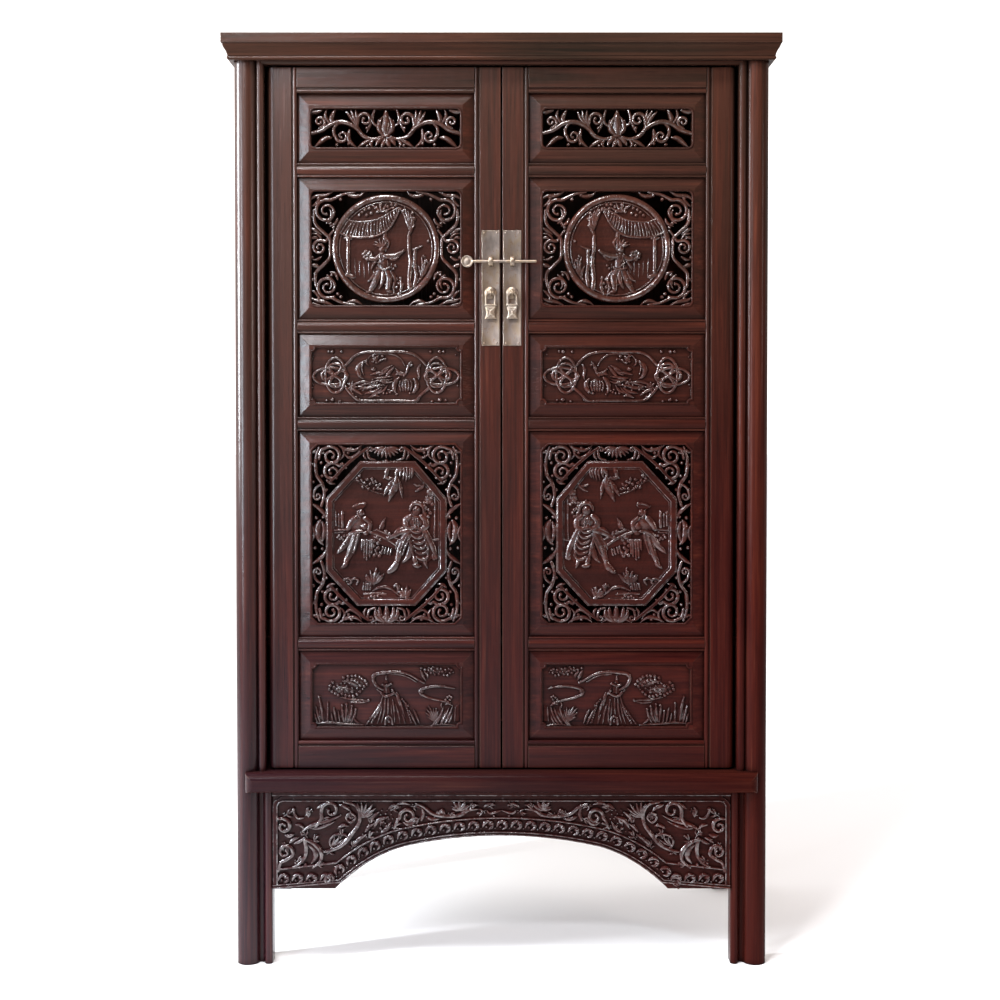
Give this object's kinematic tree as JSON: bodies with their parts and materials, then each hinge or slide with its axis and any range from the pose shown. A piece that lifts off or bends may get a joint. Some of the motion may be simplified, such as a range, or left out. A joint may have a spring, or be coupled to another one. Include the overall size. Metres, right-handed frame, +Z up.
{
  "type": "cupboard",
  "caption": "Tall wedding cabinet on legs: mitred cornice, pivoting doors with carved and pierced panels, ledge rail, arched carved apron, brass lock pin, staples and pulls.",
  "frame": {"origin": "on the floor under the middle of the cabinet's bounding box", "axes": "+Z up, the doors face -Y, +X is the cabinet's right as seen from the front"},
  "size_m": [1.098, 0.532, 1.845],
  "materials": {
    "dark_lacquer": "semi-gloss lacquer, worn at the edges",
    "plain_wood": "thin matt lacquer",
    "aged_brass": "aged, brushed"
  },
  "bodies": {
    "cabinet": {"front_left_post": "dark_lacquer", "front_right_post": "dark_lacquer", "rear_left_post": "dark_lacquer", "rear_right_post": "dark_lacquer", "front_top_rail": "dark_lacquer", "front_bottom_rail": "dark_lacquer", "left_jamb_bead": "dark_lacquer", "right_jamb_bead": "dark_lacquer", "rear_rails": "plain_wood", "left_side_rails": "dark_lacquer", "right_side_rails": "dark_lacquer", "left_side_panels": "dark_lacquer", "right_side_panels": "dark_lacquer", "back_panels": "plain_wood", "back_stile": "plain_wood", "front_cornice_rail": "dark_lacquer", "back_cornice_rail": "dark_lacquer", "left_cornice_rail": "dark_lacquer", "right_cornice_rail": "dark_lacquer", "top_board": "plain_wood", "floor_board": "plain_wood", "upper_shelf": "plain_wood", "lower_shelf": "plain_wood", "shelf_bearers": "plain_wood", "front_apron": "dark_lacquer", "left_side_apron": "dark_lacquer", "right_side_apron": "dark_lacquer"},
    "left_door": {"left_door_hinge_stile": "dark_lacquer", "left_door_meeting_stile": "dark_lacquer", "left_door_top_rail": "dark_lacquer", "left_door_bottom_rail": "dark_lacquer", "left_door_middle_rails": "dark_lacquer", "left_scroll_panel": "dark_lacquer", "left_medallion_panel": "dark_lacquer", "left_knot_panel": "dark_lacquer", "left_figure_panel": "dark_lacquer", "left_landscape_panel": "dark_lacquer", "left_lock_plate": "aged_brass", "left_plate_tacks": "aged_brass", "left_pin_staple": "aged_brass", "left_pull_staple": "aged_brass"},
    "right_door": {"right_door_hinge_stile": "dark_lacquer", "right_door_meeting_stile": "dark_lacquer", "right_door_top_rail": "dark_lacquer", "right_door_bottom_rail": "dark_lacquer", "right_door_middle_rails": "dark_lacquer", "right_scroll_panel": "dark_lacquer", "right_medallion_panel": "dark_lacquer", "right_knot_panel": "dark_lacquer", "right_figure_panel": "dark_lacquer", "right_landscape_panel": "dark_lacquer", "right_lock_plate": "aged_brass", "right_plate_tacks": "aged_brass", "right_pin_staple": "aged_brass", "right_pull_staple": "aged_brass"},
    "left_pull": {"left_pull": "aged_brass"},
    "right_pull": {"right_pull": "aged_brass"},
    "lock_pin": {"lock_pin": "aged_brass"}
  },
  "joints": [
    {"name": "left_door_hinge", "type": "hinge", "parent": "cabinet", "child": "left_door", "pos_m": [-0.451, -0.212, 0.388], "axis": [0, 0, -1], "range_deg": [0, 100]},
    {"name": "right_door_hinge", "type": "hinge", "parent": "cabinet", "child": "right_door", "pos_m": [0.451, -0.212, 0.388], "axis": [0, 0, 1], "range_deg": [0, 100]},
    {"name": "lock_pin_slide", "type": "slide", "parent": "left_door", "child": "lock_pin", "axis": [-1, 0, 0], "range_m": [0, 0.072]},
    {"name": "left_pull_swing", "type": "hinge", "parent": "left_door", "child": "left_pull", "pos_m": [-0.0215, -0.2372, 1.34], "axis": [-1, 0, 0], "range_deg": [0, 90]},
    {"name": "right_pull_swing", "type": "hinge", "parent": "right_door", "child": "right_pull", "pos_m": [0.0215, -0.2372, 1.34], "axis": [-1, 0, 0], "range_deg": [0, 90]}
  ]
}
